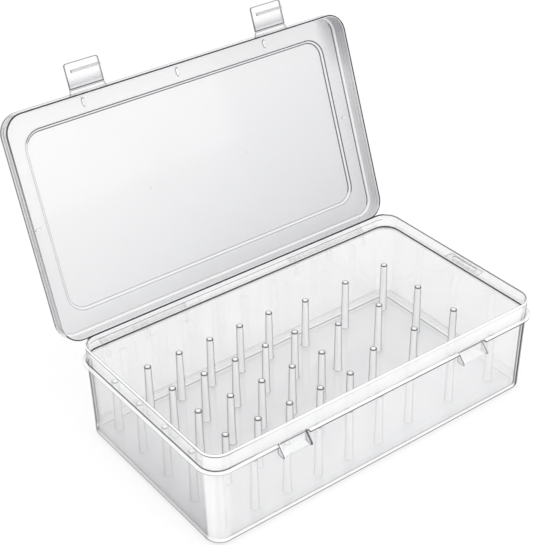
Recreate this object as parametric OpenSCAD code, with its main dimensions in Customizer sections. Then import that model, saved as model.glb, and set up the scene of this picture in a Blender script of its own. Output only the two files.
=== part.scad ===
// Clear thread box: a drafted tub with a hinged lid, two fold-over latches
// and two fields of hollow spool pegs, drawn with the lid open on its stop.
// Origin: centre of the base, on the table. +X runs along the long side,
// +Y to the hinged back, +Z up. All sizes in millimetres.

/* [Tub] */
// Length of the tub over its neck
body_l = 310; // [260:1:380]
// Depth of the tub over its neck, front to back
body_w = 174; // [150:1:220]
// Height of the top of the flange, which the lid closes on
flange_z = 70; // [60:1:100]
// Height of the neck above the flange
neck_h = 14; // [11:0.5:18]
// Radius of the upright corners, outside
corner_r = 14.5; // [12:0.5:20]
// Lean of the walls: mm inwards for each mm down
draft = 0.02; // [0:0.005:0.03]
// Thickness of the walls under the flange
wall = 2.2; // [1.8:0.1:3]
// Thickness of the neck
neck_wall = 1.5; // [1.2:0.1:1.8]
// Thickness of the floor
floor_t = 2.2; // [1.8:0.1:4]
// Rounding of the bottom edge, outside
base_r = 4; // [3:0.5:6]
// Rounding where the walls meet the floor, inside
foot_r = 3; // [2:0.5:5]
// How far the flange stands out from the neck
flange_w = 3; // [2:0.1:4]
// Thickness of the flange
flange_t = 1.8; // [1.2:0.1:2.4]

/* [End lug] */
// Length of the slotted lug on the right end
lug_l = 38; // [30:1:60]
// How far the lug stands out from the neck
lug_w = 12.5; // [11:0.5:16]
// Length of the slot in the lug
lug_slot_l = 27; // [15:1:28]
// Width of the slot in the lug
lug_slot_w = 3.6; // [2.5:0.1:3.8]
// Plastic left outside the slot
lug_bar = 1.9; // [1.5:0.1:3]

/* [Pegs] */
// Height of a peg above the floor
peg_h = 46; // [35:1:55]
// Outside diameter at the top of a peg
peg_top_d = 5.6; // [4.8:0.1:6.4]
// Outside diameter at the foot of a peg
peg_foot_d = 6.8; // [6:0.1:8]
// Bore through a peg
peg_bore_d = 3.1; // [2:0.1:3.6]
// Bevel round the top edge of a peg
peg_bevel = 0.4; // [0.2:0.1:0.6]
// Depth of the seat in the floor that a peg stands in
seat_depth = 0.8; // [0.4:0.1:1.2]
// Gap round a peg's foot in its seat
seat_gap = 0.05; // [0.03:0.01:0.1]
// Most columns of pegs in the close field, where they fit
close_cols = 6; // [2:1:6]
// Most rows of pegs in the close field, where they fit
close_rows = 5; // [2:1:5]
// Spacing of the close field's columns
close_pitch_x = 29.5; // [22:0.5:32]
// Spacing of the close field's rows
close_pitch_y = 34.5; // [25:0.5:36]
// Columns of pegs in the wide field
wide_cols = 3; // [1:1:3]
// Most rows of pegs in the wide field, where they fit
wide_rows = 4; // [2:1:4]
// Spacing of the wide field's columns
wide_pitch_x = 43.3; // [32:0.5:45]
// Spacing of the wide field's rows
wide_pitch_y = 43; // [32:0.5:45]
// Distance between the two fields' nearest columns
field_gap = 34.7; // [26:0.5:38]
// Least distance from a peg's middle to the end of the neck
end_margin = 20.6; // [16:0.1:24]
// Least distance from a peg's middle to the side of the neck
side_margin = 18; // [14:0.1:22]
// How far the fields sit left of the tub's middle
field_shift = 1.9; // [0:0.1:3]

/* [Lid] */
// Gap between the neck and the lid's skirt at the ends
lid_gap_end = 2.9; // [1.5:0.1:4]
// Gap between the neck and the lid's skirt at front and back
lid_gap_side = 1.4; // [1:0.1:2.5]
// Thickness of the lid
lid_t = 1.6; // [1.2:0.1:2.2]
// Gap between the closed lid's roof and the neck's top
roof_gap = 0.5; // [0.5:0.1:1]
// Gap between the closed lid's rim and the flange
rim_gap = 0.3; // [0.3:0.1:0.6]
// Rounding of the lid's top edge, outside
lid_edge_r = 5; // [3:0.5:6]
// Rounding of the lid's top edge, inside
lid_inner_r = 2; // [1.5:0.1:2]
// Width of the flat brim round the raised panel
brim_w = 17.5; // [12:0.5:30]
// Height of the raised panel above the brim
panel_rise = 2.2; // [1:0.1:4]
// Width of the slope round the raised panel
panel_slope = 1.8; // [1:0.1:4]
// Corner radius of the raised panel
panel_r = 15; // [10:0.5:20]
// Angle from closed to open on the stop
open_angle = 110; // [95:1:115]

/* [Hinges] */
// Distance of the hinge line behind the neck
hinge_back = 8; // [7.5:0.1:9]
// Depth of the hinge line below the flange's top
hinge_drop = 0.2; // [0:0.1:0.5]
// Distance of each hinge's middle from the tub's middle
hinge_x = 92.5; // [70:0.5:100]
// Length of each hinge over its outer ears
hinge_l = 78; // [60:1:90]
// Outside diameter of the hinge barrels
barrel_d = 5.8; // [5.2:0.1:6.2]
// Diameter of the hinge rods
rod_d = 2.7; // [2:0.1:3]
// Running gap round a hinge rod
rod_gap = 0.05; // [0.03:0.01:0.1]
// Thickness of the tub's hinge ears
ear_t = 4; // [3:0.1:6]
// Side gap between an ear and a barrel
ear_gap = 0.4; // [0.3:0.1:1]
// Height of the web under each ear
ear_h = 13; // [10:0.5:20]
// Thickness of the heads on the hinge rods
head_t = 0.8; // [0.5:0.1:1.5]
// How far those heads stand out round their rod
head_rim = 0.7; // [0.4:0.1:1.2]
// Gap between the flange and the arms of the closed lid's barrels
arm_gap = 0.4; // [0.3:0.1:1]
// Length of the flat on each ear that stops the open lid
toe_l = 2.6; // [1.5:0.1:3]
// Gap between the open lid's skirt and the ear's stop
stop_gap = 0.15; // [0.1:0.01:0.3]

/* [Latches] */
// Distance of each latch's middle from the tub's middle
latch_x = 86; // [60:0.5:110]
// Width of a latch flap
latch_w = 29.6; // [20:0.1:36]
// Length of a latch flap from its film hinge
latch_l = 19; // [17:0.5:24]
// Thickness of a latch flap and its tab
latch_t = 1.8; // [1.4:0.1:2]
// Distance of the film hinge in front of the lid's skirt
tab_l = 5.2; // [4.8:0.1:7]
// Extra width of the tab where it leaves the skirt
tab_flare = 2.4; // [0:0.1:4]
// Gap between the tab and the flap's rolled root
film_gap = 0.3; // [0.2:0.05:0.4]
// Distance from the film hinge to the hook's face
hook_drop = 11.3; // [10.5:0.1:13]
// Width of the hook at its root
hook_w = 2.4; // [1.5:0.1:3]
// Width of the hook at its tip
hook_top = 0.5; // [0.3:0.1:1.2]
// How far the hook stands up from the flap
hook_h = 2; // [1.5:0.1:2.4]
// Margin between the hook and the flap's free side
hook_margin = 4; // [2:0.5:6]
// Gap between the closed hook's face and the catch's lip
hook_gap = 0.7; // [0.4:0.1:1.2]
// Rounding of the flap's free corners
flap_r = 2; // [1:0.5:4]

/* [Catches] */
// Width of a catch on the tub's front
catch_w = 26; // [18:0.5:30]
// Gap between the ends of the flange and a catch
catch_clear = 1; // [0.5:0.1:3]
// Gap between a catch and the closed flap
catch_gap = 0.7; // [0.4:0.1:1.2]
// Thickness of a catch's ramp and cheeks
catch_t = 1.6; // [1.2:0.1:2]
// Height of the plain lip under the ramp
lip_h = 1.5; // [1:0.1:2.5]
// How far a catch's cheeks stand out past its ramp
cheek_out = 0.3; // [0.1:0.05:0.4]

/* [Moulding marks] */
// Diameter of the small pips inside the lid
pip_d = 1.6; // [1:0.1:2.5]
// Height of the pips inside the lid
pip_h = 0.6; // [0.3:0.1:1]
// Length of the long pips on the brim
pip_l = 5; // [3:0.5:7]
// How far the end pips sit inside the middle of the brim
pip_shift = 1; // [0:0.5:3]
// Distance of the two round pips from the lid's middle
panel_pip_x = 47; // [30:1:80]

/* [Hidden] */
$fn = 64;
hull_fn = 32;
eps = 0.01;
over = 1;                 // how far a cut runs past what it cuts
embed = 0.8;              // how deep an added form reaches into its wall
clear_plastic = [0.90, 0.93, 0.95];
body_h = flange_z + neck_h;

// pegs: a smaller tub takes fewer of them
wide_l = (wide_cols - 1) * wide_pitch_x;
close_c = min(close_cols, count_in(body_l - 2 * end_margin - field_gap - wide_l, close_pitch_x));
close_r = min(close_rows, count_in(body_w - 2 * side_margin, close_pitch_y));
wide_r = min(wide_rows, count_in(body_w - 2 * side_margin, wide_pitch_y));
close_l = (close_c - 1) * close_pitch_x;
field_l = close_l + field_gap + wide_l;
close_x0 = -field_l / 2 - field_shift;
wide_x0 = close_x0 + close_l + field_gap;
close_y0 = (close_r - 1) * close_pitch_y / 2;
wide_y0 = (wide_r - 1) * wide_pitch_y / 2;

// lid, drawn closed
lid_l = body_l + 2 * (lid_gap_end + lid_t);
lid_w = body_w + 2 * (lid_gap_side + lid_t);
lid_r = corner_r + lid_gap_side;
rim_z = flange_z + rim_gap;
roof_z = body_h + roof_gap;

// hinges
hinge_y = body_w / 2 + hinge_back;
hinge_z = flange_z - hinge_drop;
back_y = lid_w / 2;
arm_off = hinge_y - back_y;
barrel_r = barrel_d / 2;
bore_r = rod_d / 2 + rod_gap;
barrel_l = (hinge_l - 3 * ear_t) / 2 - 2 * ear_gap;
barrel_x = ear_t / 2 + ear_gap + barrel_l / 2;
ear_xs = [-(hinge_l - ear_t) / 2, 0, (hinge_l - ear_t) / 2];
head_d = rod_d + 2 * head_rim;

// latches, drawn on the closed lid
film_y = -lid_w / 2 - tab_l;
film_z = rim_z + latch_t / 2;
root_r = latch_t / 2;
tip_y = film_y + latch_t / 2 + catch_gap;
lip_z = film_z - hook_drop + hook_gap;
ramp_z = lip_z + lip_h;
sides = [-1, 1];
catch_notch = catch_w + 2 * catch_clear;
ramp_tilt = (flange_z - ramp_z) / (-body_w / 2 - tip_y);
ramp_v = catch_t * sqrt(1 + ramp_tilt * ramp_tilt);   // upright thickness of the ramp

function count_in(room, pitch) = floor(room / pitch + eps) + 1;
function peg_name(field, r, c) = str(field, "_peg_r", r + 1, "c", c + 1);
function close_pos(r, c) = [close_x0 + c * close_pitch_x, close_y0 - r * close_pitch_y];
function wide_pos(r, c) = [wide_x0 + c * wide_pitch_x, wide_y0 - r * wide_pitch_y];
function arc(cx, cy, r, a0, a1, n = 5) =
    [for (i = [0:n]) let (a = a0 + (a1 - a0) * i / n) [cx + r * cos(a), cy + r * sin(a)]];

// ---------- shared shapes ----------

// Flat rectangle with round corners
module round_rect(l, w, r) {
    square([l - 2 * r, w], center = true);
    square([l, w - 2 * r], center = true);
    for (x = sides, y = sides) translate([x * (l / 2 - r), y * (w / 2 - r)]) circle(r);
}

// Skin over four copies of a turned corner post
module four_posts(l, w, r) {
    hull() for (x = sides, y = sides) translate([x * (l / 2 - r), y * (w / 2 - r), 0])
        rotate_extrude($fn = hull_fn) children();
}

// Profile of a corner post: radius r_low at z0, r_high at z1, rounded by f at its foot
module post_profile(r_low, r_high, z0, z1, f) {
    polygon(concat([[0, z0]], arc(r_low - f, z0 + f, f, -90, 0), [[r_high, z1], [0, z1]]));
}

// Bar with the given outline in the Y-Z plane, centred on X
module bar_x(len, points) {
    translate([-len / 2, 0, 0]) rotate([90, 0, 90]) linear_extrude(len) polygon(points);
}

// Everything that belongs to the lid is drawn closed and swung open here
module opened() {
    translate([0, hinge_y, hinge_z]) rotate([-open_angle, 0, 0])
        translate([0, -hinge_y, -hinge_z]) children();
}

// ---------- tub ----------

module tub_outside() {
    four_posts(body_l, body_w, corner_r)
        post_profile(corner_r - draft * flange_z, corner_r, 0, flange_z, base_r);
    translate([0, 0, flange_z - flange_t]) linear_extrude(neck_h + flange_t)
        round_rect(body_l, body_w, corner_r);
}

module tub_inside() {
    r_in = corner_r - wall;
    four_posts(body_l - 2 * wall, body_w - 2 * wall, r_in)
        post_profile(r_in - draft * (flange_z - floor_t), r_in, floor_t, flange_z + eps, foot_r);
    translate([0, 0, flange_z]) linear_extrude(neck_h + over)
        round_rect(body_l - 2 * neck_wall, body_w - 2 * neck_wall, corner_r - neck_wall);
}

module flange() {
    translate([0, 0, flange_z - flange_t]) linear_extrude(flange_t) difference() {
        round_rect(body_l + 2 * flange_w, body_w + 2 * flange_w, corner_r + flange_w);
        for (x = sides) translate([x * latch_x, -body_w / 2 - flange_w])
            square([catch_notch, 2 * flange_w], center = true);
    }
}

module end_lug() {
    lug_x = body_l / 2 + lug_w;
    translate([0, 0, flange_z - flange_t]) linear_extrude(flange_t) difference() {
        translate([body_l / 2 - embed, -lug_l / 2]) square([lug_w + embed - flange_t, lug_l]);
        slot();
    }
    translate([0, 0, flange_z - flange_t]) linear_extrude(flange_t) difference() {
        translate([lug_x - 2 * flange_t, -lug_l / 2 + flange_t])
            square([2 * flange_t, lug_l - 2 * flange_t]);
        slot();
    }
    for (y = sides) translate([lug_x - flange_t, y * (lug_l / 2 - flange_t), flange_z - flange_t])
        cylinder(h = flange_t, r = flange_t);
    module slot() {
        translate([lug_x - lug_bar - lug_slot_w / 2, 0])
            round_rect(lug_slot_w, lug_slot_l, lug_slot_w / 2 - eps);
    }
}

// Hooked ledge under a latch: a ramp between two cheeks, open underneath
module catch_ledge() {
    root_y = -body_w / 2;
    bar_x(catch_w, [[root_y + embed, flange_z], [root_y, flange_z], [tip_y, ramp_z], [tip_y, lip_z],
        [tip_y + catch_t, lip_z], [tip_y + catch_t, ramp_z + catch_t * ramp_tilt - ramp_v],
        [root_y, flange_z - ramp_v], [root_y + embed, flange_z - ramp_v]]);
    for (s = sides) translate([s * (catch_w - catch_t) / 2, 0, 0])
        bar_x(catch_t, [[root_y + embed, flange_z], [root_y, flange_z],
            [tip_y - cheek_out, ramp_z], [tip_y - cheek_out, lip_z], [root_y + embed, lip_z]]);
}

// Ear behind the tub that carries a hinge rod and stops the open lid
module hinge_ear() {
    stop_r = arm_off - stop_gap;
    a = 180 - open_angle;
    n = [cos(a), sin(a)];
    t = [sin(a), -cos(a)];
    top = hinge_z + stop_gap;
    bar_x(ear_t, [[body_w / 2 - 2 * embed, flange_z - ear_h], [body_w / 2, flange_z - ear_h],
        [hinge_y, hinge_z - barrel_r], [hinge_y, top], [body_w / 2 - 2 * embed, top]]);
    translate([-ear_t / 2, hinge_y, hinge_z]) rotate([0, 90, 0]) cylinder(h = ear_t, r = barrel_r);
    translate([0, hinge_y, hinge_z])
        bar_x(ear_t, [[0, 0], stop_r * n - toe_l / 10 * t, stop_r * n + toe_l * t, [barrel_r, 0]]);
}

module tub() {
    color(clear_plastic) difference() {
        union() {
            tub_outside();
            flange();
            end_lug();
            for (s = sides) translate([s * latch_x, 0, 0]) catch_ledge();
            for (s = sides, x = ear_xs) translate([s * hinge_x + x, 0, 0]) hinge_ear();
        }
        tub_inside();
        for (s = sides) translate([s * hinge_x, hinge_y, hinge_z])
            rotate([0, 90, 0]) cylinder(h = hinge_l + 2 * over, r = bore_r, center = true);
        for (r = [0:close_r - 1], c = [0:close_c - 1]) peg_seat(close_pos(r, c));
        for (r = [0:wide_r - 1], c = [0:wide_cols - 1]) peg_seat(wide_pos(r, c));
    }
}

module peg_seat(pos) {
    translate([pos[0], pos[1], floor_t - seat_depth])
        cylinder(h = seat_depth + over, r = peg_foot_d / 2 + seat_gap);
}

// ---------- pegs ----------

// Hollow taper that a spool drops over
module peg(pos) {
    r_foot = peg_foot_d / 2;
    r_top = peg_top_d / 2;
    r_bore = peg_bore_d / 2;
    color(clear_plastic) translate([pos[0], pos[1], floor_t - seat_depth])
        rotate_extrude() polygon([[r_bore, 0], [r_foot, 0], [r_foot, seat_depth],
            [r_top, seat_depth + peg_h - peg_bevel], [r_top - peg_bevel, seat_depth + peg_h],
            [r_bore, seat_depth + peg_h]]);
}

// ---------- lid ----------

// Closed-lid shell from z0 up to z1, with its top edge rounded by f
module lid_shell(l, w, r, z0, z1, f) {
    four_posts(l, w, r) polygon(concat([[0, z0], [r, z0]], arc(r - f, z1 - f, f, 0, 90), [[0, z1]]));
}

// Low plateau whose outline shrinks by the slope on its way up
module plateau(l, w, r, z0, rise, grow) {
    hull() {
        translate([0, 0, z0]) linear_extrude(eps)
            round_rect(l + 2 * grow, w + 2 * grow, r + grow, $fn = hull_fn);
        translate([0, 0, z0 + rise]) linear_extrude(eps)
            round_rect(l + 2 * grow - 2 * panel_slope, w + 2 * grow - 2 * panel_slope,
                r + grow - panel_slope, $fn = hull_fn);
    }
}

module latch_tab() {
    w0 = latch_w + tab_flare;
    y0 = -lid_w / 2 + embed;
    y1 = film_y + root_r + film_gap;
    translate([0, 0, rim_z]) linear_extrude(latch_t)
        polygon([[-w0 / 2, y0], [w0 / 2, y0], [latch_w / 2, y1], [-latch_w / 2, y1]]);
}

module lid_arm() {
    bar_x(barrel_l, [[back_y - embed, flange_z + arm_gap], [hinge_y, flange_z + arm_gap],
        [hinge_y, hinge_z + barrel_r - eps], [back_y - embed, hinge_z + barrel_r - eps]]);
    translate([-barrel_l / 2, hinge_y, hinge_z]) rotate([0, 90, 0])
        cylinder(h = barrel_l, r = barrel_r);
}

module pips() {
    z = roof_z - pip_h;
    y = -lid_w / 2 + brim_w / 2;
    for (x = [-latch_x, 0, latch_x]) translate([x, y, z]) long_pip();
    for (s = sides) translate([s * (lid_l / 2 - brim_w / 2 - pip_shift), 0, z]) rotate([0, 0, 90]) long_pip();
    for (s = sides) translate([s * panel_pip_x, 0, z + panel_rise])
        cylinder(h = pip_h + embed, r = pip_d / 2);
    module long_pip() {
        linear_extrude(pip_h + embed) {
            square([pip_d, pip_l - pip_d], center = true);
            for (s = sides) translate([0, s * (pip_l - pip_d) / 2]) circle(pip_d / 2);
        }
    }
}

module lid() {
    panel_l = lid_l - 2 * brim_w;
    panel_w = lid_w - 2 * brim_w;
    color(clear_plastic) opened() {
        difference() {
            union() {
                lid_shell(lid_l, lid_w, lid_r, rim_z, roof_z + lid_t, lid_edge_r);
                plateau(panel_l, panel_w, panel_r, roof_z + lid_t - eps, panel_rise, lid_t / 2);
                for (s = sides) translate([s * latch_x, 0, 0]) latch_tab();
                for (s = sides, b = sides) translate([s * hinge_x + b * barrel_x, 0, 0]) lid_arm();
            }
            lid_shell(lid_l - 2 * lid_t, lid_w - 2 * lid_t, lid_r - lid_t,
                rim_z - over, roof_z, lid_inner_r);
            plateau(panel_l, panel_w, panel_r, roof_z - eps, panel_rise, 0);
            for (s = sides) translate([s * hinge_x, hinge_y, hinge_z])
                rotate([0, 90, 0]) cylinder(h = hinge_l, r = bore_r, center = true);
        }
        pips();
    }
}

// ---------- latch flaps ----------

// Flap with a rolled root on its film hinge and a hook across its inner face
module latch(side) {
    free_y = film_y - latch_l;
    hook_y = film_y - hook_drop;
    hook_l = latch_w - hook_margin;
    color(clear_plastic) opened() translate([side * latch_x, 0, 0]) {
        translate([-latch_w / 2, film_y, film_z]) rotate([0, 90, 0])
            cylinder(h = latch_w, r = root_r);
        translate([0, 0, rim_z]) linear_extrude(latch_t) {
            translate([-latch_w / 2, free_y + flap_r]) square([latch_w, latch_l - flap_r]);
            translate([-latch_w / 2 + flap_r, free_y]) square([latch_w - 2 * flap_r, 2 * flap_r]);
            for (s = sides) translate([s * (latch_w / 2 - flap_r), free_y + flap_r]) circle(flap_r);
        }
        translate([hook_margin / 2, 0, 0])
            bar_x(hook_l, [[hook_y, rim_z + embed], [hook_y, rim_z - hook_h],
                [hook_y - hook_top, rim_z - hook_h], [hook_y - hook_w, rim_z], [hook_y - hook_w, rim_z + embed]]);
    }
}

// ---------- hinge rods ----------

module hinge_rod(side) {
    color(clear_plastic) translate([side * hinge_x, hinge_y, hinge_z]) rotate([0, 90, 0]) {
        cylinder(h = hinge_l + 2 * eps, r = rod_d / 2, center = true);
        for (s = sides) translate([0, 0, s * (hinge_l + head_t) / 2])
            cylinder(h = head_t, r = head_d / 2, center = true);
    }
}

tub();
lid();
latch(-1);  // latch_left
latch(1);  // latch_right
hinge_rod(-1);  // hinge_rod_left
hinge_rod(1);  // hinge_rod_right
for (r = [0:close_r - 1], c = [0:close_c - 1])
    peg(close_pos(r, c));
for (r = [0:wide_r - 1], c = [0:wide_cols - 1])
    peg(wide_pos(r, c));
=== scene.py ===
import math

import bmesh
import bpy
from mathutils import Matrix, Vector


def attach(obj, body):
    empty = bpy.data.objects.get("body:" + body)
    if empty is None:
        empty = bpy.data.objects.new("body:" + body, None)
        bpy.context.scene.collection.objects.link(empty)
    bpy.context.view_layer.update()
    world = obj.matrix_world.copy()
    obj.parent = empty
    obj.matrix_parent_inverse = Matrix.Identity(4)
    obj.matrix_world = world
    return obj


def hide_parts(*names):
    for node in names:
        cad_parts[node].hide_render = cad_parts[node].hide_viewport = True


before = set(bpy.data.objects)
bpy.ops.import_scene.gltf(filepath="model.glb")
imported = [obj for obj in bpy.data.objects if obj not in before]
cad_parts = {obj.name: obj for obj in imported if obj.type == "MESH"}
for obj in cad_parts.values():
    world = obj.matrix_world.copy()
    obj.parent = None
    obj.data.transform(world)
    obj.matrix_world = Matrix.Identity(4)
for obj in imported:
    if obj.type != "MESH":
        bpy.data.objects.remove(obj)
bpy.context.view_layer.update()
mm = 0.001
print("frame loaded")


# A socket of a material, wrapped so that its sums can be written as sums
class Wire:
    def __init__(self, web, socket):
        self.web = web
        self.socket = socket

    def __add__(self, other):
        return self.web.sum("ADD", self, other)

    def __radd__(self, other):
        return self.web.sum("ADD", other, self)

    def __sub__(self, other):
        return self.web.sum("SUBTRACT", self, other)

    def __rsub__(self, other):
        return self.web.sum("SUBTRACT", other, self)

    def __mul__(self, other):
        return self.web.sum("MULTIPLY", self, other)

    def __rmul__(self, other):
        return self.web.sum("MULTIPLY", other, self)

    def atLeast(self, other):
        return self.web.sum("MAXIMUM", self, other)

    def atMost(self, other):
        return self.web.sum("MINIMUM", self, other)

    def size(self):
        return self.web.sum("ABSOLUTE", self, 0.0)


# The node tree of one material or of the world
class Web:
    def __init__(self, name="", tree=None):
        if tree is None:
            self.material = bpy.data.materials.new(name)
            self.material.use_nodes = True
            tree = self.material.node_tree
        self.tree = tree
        self.tree.nodes.clear()

    def node(self, kind, settings, sockets, out=0):
        made = self.tree.nodes.new(kind)
        for key, value in settings.items():
            setattr(made, key, value)
        for key, value in sockets.items():
            if isinstance(value, Wire):
                self.tree.links.new(value.socket, made.inputs[key])
            else:
                made.inputs[key].default_value = value
        return Wire(self, made.outputs[out]) if made.outputs else None

    def sum(self, operation, first, second):
        return self.node("ShaderNodeMath", {"operation": operation}, {0: first, 1: second})

    def tint(self, factor, first, second):
        return self.node("ShaderNodeMix", {"data_type": "RGBA"}, {0: factor, 6: first, 7: second}, 2)

    def blend(self, factor, first, second):
        return self.node("ShaderNodeMixShader", {}, {0: factor, 1: first, 2: second})

    def stretch(self, place, scale):
        return self.node("ShaderNodeVectorMath", {"operation": "MULTIPLY"}, {0: place, 1: scale})

    def noise(self, place, scale, detail=2.0):
        return self.node("ShaderNodeTexNoise", {}, {"Vector": place, "Scale": scale, "Detail": detail})

    # 0 at start, 1 at end, and held outside them
    def ramp(self, value, start, end):
        return self.node("ShaderNodeMapRange", {}, {"Value": value, "From Min": start, "From Max": end})

    # The same between two places along an axis, given in millimetres
    def span(self, value, places):
        return self.ramp(value, places[0] * mm, places[1] * mm)

    def parts(self, place):
        return [self.node("ShaderNodeSeparateXYZ", {}, {0: place}, axis) for axis in range(3)]

    # 1 where the room is seen directly, mirrored or through glass
    def seen(self):
        path = [self.node("ShaderNodeLightPath", {}, {}, ray) for ray in
                ("Is Camera Ray", "Is Glossy Ray", "Is Transmission Ray")]
        return (path[0] + path[1] + path[2]).atMost(1.0)

    def finish(self, shader):
        self.node("ShaderNodeOutputMaterial", {}, {"Surface": shader})
        return self.material


white = (1.0, 1.0, 1.0, 1.0)
clearLook = {
    "light": (0.945, 0.945, 0.955, 1.0),   # veil of the sheet itself
    "smoke": (0.46, 0.46, 0.49, 1.0),      # painted shade, and the grey of the random haze
    "milk": white,                         # painted highlight where it catches the light, and the pegs' frosted white
    "line": (0.03, 0.03, 0.04, 1.0),       # painted dark line inside an edge, for the shade clear plastic shows there
    "veil": 0.15,                          # how much one face hides
    "smokeVeil": 0.30,
    "milkVeil": 0.55,
    "lineVeil": 0.96,
    "rimStart": 0.64,                      # a round corner turned away this far starts to darken
    "rimEnd": 0.74,
    "rimWiden": 0.13,
    "rimVeil": 0.92,
    "rimShade": 1.0,
    "fadeStart": 0.73,                     # a whole corner seen along itself stays pale
    "fadeEnd": 0.81,
    "fade": 0.8,
    "glow": 0.0,                           # painted glow in a bore, for light carried along the plastic
    "haze": 0.02,                          # slow change of the veil from place to place
    "hazeScale": 9.0,
    "hazeSmoke": 0.1,
    "dustScale": 900.0,                    # fine specks, fewer as dustLeast rises
    "dustLeast": 0.64,
    "dustVeil": 0.1,
    "dustRough": 0.4,
    "rough": 0.12,
    "flowScale": (9.0, 60.0, 60.0),        # flow lines, drawn out along the box
    "flow": 0.08,                          # their roughness
    "flowHeight": 0.12,
    "rippleScale": 40.0,
    "rippleDepth": 0.2,                    # millimetres
    "ripple": 0.05,
    "index": 1.49,
    "specular": 0.08,
    "mirrorIndex": 1.45,                   # the clear shine over the veil
    "mirrorRough": 0.06,
    "gloss": 0.30,
}
boreEdge = (-0.96, -1.0)                   # edge values that only a bore has, from dim to full painted glow


# Plastic seen through. tone gives a number for each place: above 0 painted shade, below 0 painted highlight
def clearPlastic(name, tone=None, wide=None, **changes):
    look = {**clearLook, **changes}
    web = Web(name)
    place = web.node("ShaderNodeTexCoord", {}, {}, "Object")
    edge = web.node("ShaderNodeAttribute", {"attribute_name": "edge"}, {}, "Fac")
    bend = web.node("ShaderNodeAttribute", {"attribute_name": "bend"}, {}, "Fac")
    side = web.node("ShaderNodeLayerWeight", {}, {"Blend": 0.5}, "Facing")
    mirror = web.node("ShaderNodeFresnel", {}, {"IOR": look["mirrorIndex"]})
    cloud = web.noise(place, look["hazeScale"], 3.0) - 0.5
    flow = web.noise(web.stretch(place, look["flowScale"]), 1.0, 4.0)
    dust = (web.noise(place, look["dustScale"], 1.0) - look["dustLeast"]).atLeast(0.0)
    dark, bright = edge.atLeast(0.0), (edge * -1.0).atLeast(0.0)
    # The grey is random haze plus the painted shade that tone gives
    smoke, milk = cloud * look["hazeSmoke"], bright
    if tone:
        shade = tone(web, web.parts(place))
        smoke, milk = shade + smoke, milk + (shade * -1.0).atLeast(0.0)
    smoke = smoke.atLeast(0.0) * (1.0 - bright)
    # The white is painted highlight, and on the pegs' shafts their frosted white
    milk = milk.atMost(1.0)
    widen = wide(web, web.parts(place)) * look["rimWiden"] if wide else 0.0
    rim = web.ramp(side + widen, look["rimStart"], look["rimEnd"]) * bend
    rim = rim * (1.0 - web.ramp(side, look["fadeStart"], look["fadeEnd"]) * look["fade"])
    hide = look["veil"] + cloud * look["haze"] + dust * look["dustVeil"]
    hide = hide + smoke * look["smokeVeil"] + milk * look["milkVeil"]
    hide = hide.atLeast(dark * look["lineVeil"]).atLeast(rim * look["rimVeil"])
    colour = web.tint(smoke.atMost(1.0), look["light"], look["smoke"])
    colour = web.tint(milk, colour, look["milk"])
    colour = web.tint(dark.atLeast(rim * look["rimShade"]).atMost(1.0), colour, look["line"])
    rough = look["rough"] + flow * look["flow"] + dust * look["dustRough"]
    height = web.noise(place, look["rippleScale"], 2.0) + flow * look["flowHeight"]
    bump = web.node("ShaderNodeBump", {}, {
        "Strength": look["ripple"], "Distance": look["rippleDepth"] * mm, "Height": height,
    })
    sockets = {
        "Base Color": colour,
        "Roughness": rough,
        "IOR": look["index"],
        "Specular IOR Level": look["specular"],
        "Alpha": hide.atLeast(0.0).atMost(1.0),
        "Normal": bump,
    }
    # Painted glow: emission in the bore, where there is no lamp
    if look["glow"] > 0:
        sockets["Emission Color"] = web.ramp(edge, *boreEdge) * look["glow"]
        sockets["Emission Strength"] = 1.0
    body = web.node("ShaderNodeBsdfPrincipled", {}, sockets)
    shine = web.node("ShaderNodeBsdfGlossy", {}, {
        "Color": white, "Roughness": look["mirrorRough"], "Normal": bump,
    })
    return web.finish(web.blend(mirror * look["gloss"] * (1.0 - rim) * (1.0 - dark), body, shine))


# Where the tub gets painted shade (grey) and painted highlight (white). A pair is the place where a tone
# starts and the place where it is full
tubShade = {
    "cornerX": 1.3,                        # painted highlight down the front corners, in corner radii from the end
    "cornerHighlight": 0.85,
    # painted shade on the walls below the flange, stronger on the front wall
    "wallZ": (72.0, 68.0),
    "wall": 0.08,
    "frontY": (-80.0, -84.0),
    "front": 0.16,
    # painted shadow over the tub's floor
    "floorZ": (3.4, 2.3),
    "floor": 0.34,
    "endX": (-146.0, -150.0),              # painted shade on the left end, strongest low down at its front
    "endY": (110.0, -80.0),
    "endZ": (75.0, 0.0),
    "endLeast": 0.12,
    "end": 0.75,
    # painted highlight on the neck above the flange, along the front and round the left end
    "neckZ": (70.0, 70.6),
    "neckFrontY": (-82.0, -86.0),
    "neckLeftX": (-150.0, -153.5),
    "neckLeft": 0.6,
    "neck": 0.45,
    "wideZ": (69.0, 66.0),                 # lower than this, corners turned away are darker and wider
}


# Above 0 painted shade, below 0 painted highlight
def tubTone(web, axes):
    x, y, z = axes
    look = tubShade
    front = box["corner"] - box["halfW"]
    corner = web.span(x.size(), (box["halfL"] - look["cornerX"] * box["corner"], box["halfL"] - 4))
    corner = corner * web.span(y, (front - 3, front - 4))
    floor = web.span(z, look["floorZ"])
    end = look["endLeast"] + web.span(y, look["endY"]) * web.span(z, look["endZ"])
    end = web.span(x, look["endX"]) * end
    wall = web.span(z, look["wallZ"]) * (look["wall"] + web.span(y, look["frontY"]) * look["front"])
    neck = web.span(y, look["neckFrontY"]).atLeast(web.span(x, look["neckLeftX"]) * look["neckLeft"])
    neck = neck * web.span(z, look["neckZ"])
    smoke = (wall + floor * look["floor"] + end * look["end"]) * (1.0 - corner)
    return smoke - corner.atLeast(neck * look["neck"]) * look["cornerHighlight"]


def tubWide(web, axes):
    return web.span(axes[2], tubShade["wideZ"])


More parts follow.
